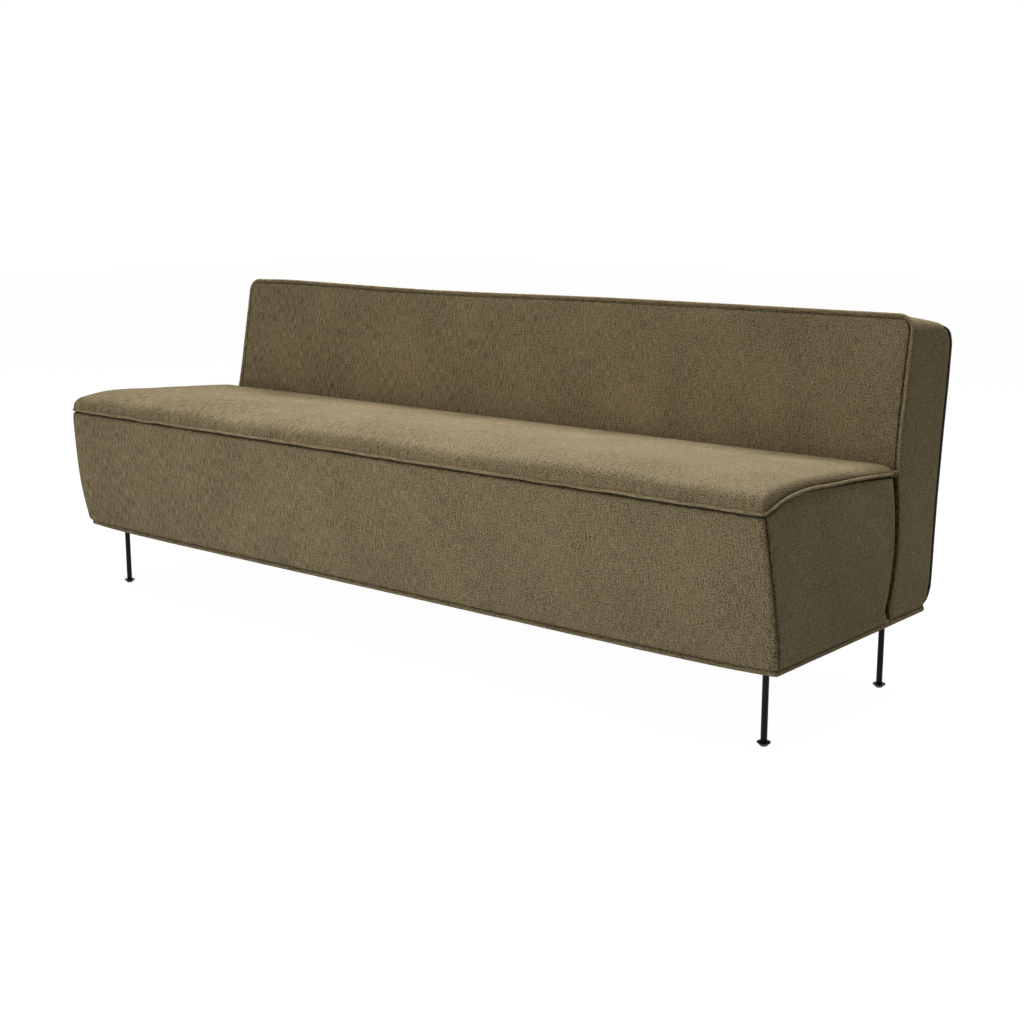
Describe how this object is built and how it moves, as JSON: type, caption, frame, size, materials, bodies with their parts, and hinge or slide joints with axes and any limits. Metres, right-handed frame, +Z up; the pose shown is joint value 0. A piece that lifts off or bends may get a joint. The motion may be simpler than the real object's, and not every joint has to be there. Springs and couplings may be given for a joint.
{
  "type": "upholstered banquette",
  "caption": "Armless upholstered banquette: deep seat box with rolled front and piped edges, leaning slab back, thin base on slim black rod legs with levelling glides.",
  "frame": {"origin": "on the floor, below the middle of the whole object's box", "axes": "+X along the length, -Y towards the sitter's legs, +Z up"},
  "size_m": [2.1, 0.7905, 0.7899],
  "materials": {
    "olive_fabric": "woven, matt, faint sheen",
    "black_lining": "matt black lining",
    "black_metal": "satin black",
    "zinc_steel": "zinc plated",
    "plywood": "raw plywood",
    "softwood": "raw planed timber",
    "foam": "open-cell foam",
    "webbing": "elastic webbing"
  },
  "bodies": {
    "banquette": {"leg_front_left": "black_metal", "leg_front_right": "black_metal", "leg_rear_left": "black_metal", "leg_rear_right": "black_metal", "leg_screws": "zinc_steel", "seat_screws": "zinc_steel", "back_bolts": "zinc_steel", "base_board": "plywood", "base_edge_roll": "olive_fabric", "dust_cover": "black_lining", "seat_front_rail": "softwood", "seat_rear_rail": "softwood", "seat_side_rail_left": "softwood", "seat_side_rail_right": "softwood", "seat_cross_rails": "softwood", "seat_corner_blocks": "softwood", "back_top_rail": "softwood", "back_middle_rail": "softwood", "back_rear_rail": "softwood", "back_foot_rail": "softwood", "back_rib_left": "plywood", "back_rib_centre": "plywood", "back_rib_right": "plywood", "seat_webbing_cross": "webbing", "seat_webbing_long": "webbing", "back_webbing": "webbing", "seat_felt": "foam", "seat_foam": "foam", "seat_front_padding": "foam", "seat_side_padding_left": "foam", "seat_side_padding_right": "foam", "back_foam": "foam", "back_rear_padding": "foam", "back_top_padding": "foam", "back_end_padding_left": "foam", "back_end_padding_right": "foam", "seat_top_cover": "olive_fabric", "seat_front_cover": "olive_fabric", "seat_side_cover_left": "olive_fabric", "seat_side_cover_right": "olive_fabric", "seat_welt": "olive_fabric", "back_front_cover": "olive_fabric", "back_band": "olive_fabric", "back_welt": "olive_fabric", "back_rear_cover": "black_lining"},
    "glide_front_left": {"glide_front_left": "black_metal"},
    "glide_front_right": {"glide_front_right": "black_metal"},
    "glide_rear_left": {"glide_rear_left": "black_metal"},
    "glide_rear_right": {"glide_rear_right": "black_metal"}
  },
  "joints": [
    {"name": "glide_front_left_screw", "type": "slide", "parent": "banquette", "child": "glide_front_left", "axis": [0, 0, -1], "range_m": [0, 0.008]},
    {"name": "glide_front_right_screw", "type": "slide", "parent": "banquette", "child": "glide_front_right", "axis": [0, 0, -1], "range_m": [0, 0.008]},
    {"name": "glide_rear_left_screw", "type": "slide", "parent": "banquette", "child": "glide_rear_left", "axis": [0, 0, -1], "range_m": [0, 0.008]},
    {"name": "glide_rear_right_screw", "type": "slide", "parent": "banquette", "child": "glide_rear_right", "axis": [0, 0, -1], "range_m": [0, 0.008]}
  ]
}
